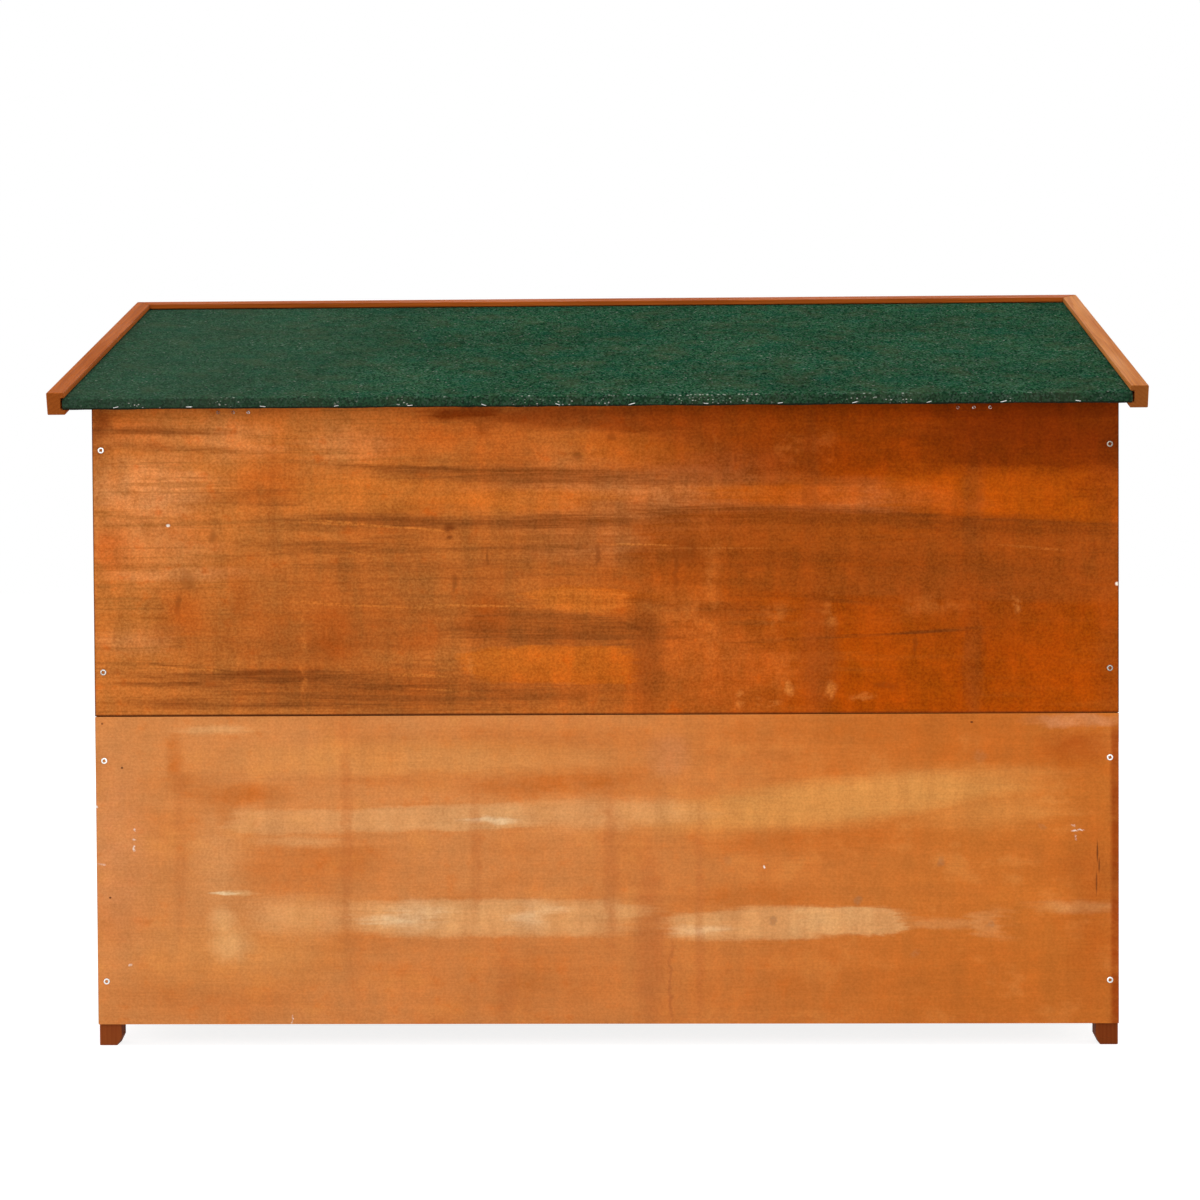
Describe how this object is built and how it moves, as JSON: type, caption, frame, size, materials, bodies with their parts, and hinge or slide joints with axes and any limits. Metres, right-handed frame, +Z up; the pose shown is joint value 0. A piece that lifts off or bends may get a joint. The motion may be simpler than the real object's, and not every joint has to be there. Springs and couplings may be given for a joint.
{
  "type": "rabbit hutch",
  "caption": "Tall wooden rabbit hutch with a sleeping room, mesh doors, pull-out trays, an inner ramp and a hinged pent roof covered in green felt.",
  "frame": {"origin": "on the ground under the middle of the roof", "axes": "+X to the right of someone facing the doors, +Y towards the plain back, +Z up"},
  "size_m": [1.22, 0.5272, 0.8811],
  "materials": {
    "stained_ply": "thin orange-brown stain, grain showing",
    "stained_wood": "thin red-brown stain",
    "roof_trim": "thin orange-brown stain",
    "roof_board": "raw board",
    "bare_ply": "bare ply",
    "bare_wood": "planed softwood",
    "roofing_felt": "green mineral granules on bitumen",
    "galvanised_steel": "galvanised",
    "zinc_hardware": "zinc plated"
  },
  "bodies": {
    "hutch": {"back_panel_lower": "stained_ply", "back_panel_screws": "zinc_hardware", "back_panel_upper": "stained_ply", "back_rails": "stained_wood", "bolt_keepers": "zinc_hardware", "door_hinge_pins": "zinc_hardware", "door_stops": "bare_wood", "front_mullions": "stained_wood", "front_rails": "stained_wood", "lower_floor": "bare_ply", "nest_divider": "bare_ply", "post_back_left": "stained_wood", "post_back_right": "stained_wood", "post_front_left": "stained_wood", "post_front_right": "stained_wood", "post_hinge_leaves": "zinc_hardware", "ramp_board": "bare_ply", "ramp_cleats": "bare_wood", "ramp_treads": "bare_wood", "roof_hinge_pins": "zinc_hardware", "roof_hinge_wall_leaves": "zinc_hardware", "side_panel_lower_left": "stained_ply", "side_panel_lower_right": "stained_ply", "side_panel_upper_left": "stained_ply", "side_panel_upper_right": "stained_ply", "side_rails_left": "stained_wood", "side_rails_right": "stained_wood", "upper_floor": "bare_ply", "upper_tray_filler": "stained_wood"},
    "roof": {"roof_board": "roof_board", "roof_felt": "roofing_felt", "roof_trim_left": "roof_trim", "roof_trim_right": "roof_trim", "roof_trim_front": "roof_trim", "felt_staples": "zinc_hardware", "roof_hinge_eave_leaves": "zinc_hardware"},
    "nest_door": {"nest_door_bolt_housing": "zinc_hardware", "nest_door_frame": "stained_wood", "nest_door_hinge_leaves": "zinc_hardware", "nest_door_panel": "stained_ply"},
    "nest_bolt": {"nest_door_bolt_rod": "zinc_hardware"},
    "upper_door": {"upper_door_bolt_housing": "zinc_hardware", "upper_door_frame": "stained_wood", "upper_door_hinge_leaves": "zinc_hardware", "upper_door_net": "galvanised_steel"},
    "upper_bolt": {"upper_door_bolt_rod": "zinc_hardware"},
    "lower_left_door": {"lower_left_door_bolt_housing": "zinc_hardware", "lower_left_door_frame": "stained_wood", "lower_left_door_hinge_leaves": "zinc_hardware", "lower_left_door_net": "galvanised_steel"},
    "lower_left_bolt": {"lower_left_door_bolt_rod": "zinc_hardware"},
    "lower_right_door": {"lower_right_door_bolt_housing": "zinc_hardware", "lower_right_door_frame": "stained_wood", "lower_right_door_hinge_leaves": "zinc_hardware", "lower_right_door_net": "galvanised_steel"},
    "lower_right_bolt": {"lower_right_door_bolt_rod": "zinc_hardware"},
    "lower_tray": {"lower_tray_pan": "galvanised_steel", "lower_tray_front": "stained_wood"},
    "upper_tray": {"upper_tray_pan": "galvanised_steel", "upper_tray_front": "stained_wood"}
  },
  "joints": [
    {"name": "roof_lift", "type": "hinge", "parent": "hutch", "child": "roof", "pos_m": [0, 0.23003, 0.72296], "axis": [-1, 0, 0], "range_deg": [0, 84]},
    {"name": "nest_door_swing", "type": "hinge", "parent": "hutch", "child": "nest_door", "pos_m": [-0.55675, -0.23157, 0.62984], "axis": [0, 0, -1], "range_deg": [0, 180]},
    {"name": "nest_bolt_slide", "type": "slide", "parent": "nest_door", "child": "nest_bolt", "axis": [1, 0, 0], "range_m": [0, 0.014]},
    {"name": "upper_door_swing", "type": "hinge", "parent": "hutch", "child": "upper_door", "pos_m": [0.54075, -0.23157, 0.62984], "axis": [0, 0, 1], "range_deg": [0, 180]},
    {"name": "upper_bolt_slide", "type": "slide", "parent": "upper_door", "child": "upper_bolt", "axis": [-1, 0, 0], "range_m": [0, 0.014]},
    {"name": "lower_left_door_swing", "type": "hinge", "parent": "hutch", "child": "lower_left_door", "pos_m": [-0.55675, -0.23157, 0.23075], "axis": [0, 0, -1], "range_deg": [0, 180]},
    {"name": "lower_left_bolt_slide", "type": "slide", "parent": "lower_left_door", "child": "lower_left_bolt", "axis": [1, 0, 0], "range_m": [0, 0.014]},
    {"name": "lower_right_door_swing", "type": "hinge", "parent": "hutch", "child": "lower_right_door", "pos_m": [0.54075, -0.23157, 0.23075], "axis": [0, 0, 1], "range_deg": [0, 180]},
    {"name": "lower_right_bolt_slide", "type": "slide", "parent": "lower_right_door", "child": "lower_right_bolt", "axis": [-1, 0, 0], "range_m": [0, 0.014]},
    {"name": "lower_tray_slide", "type": "slide", "parent": "hutch", "child": "lower_tray", "axis": [0, -1, 0], "range_m": [0, 0.38]},
    {"name": "upper_tray_slide", "type": "slide", "parent": "hutch", "child": "upper_tray", "axis": [0, -1, 0], "range_m": [0, 0.38]}
  ]
}
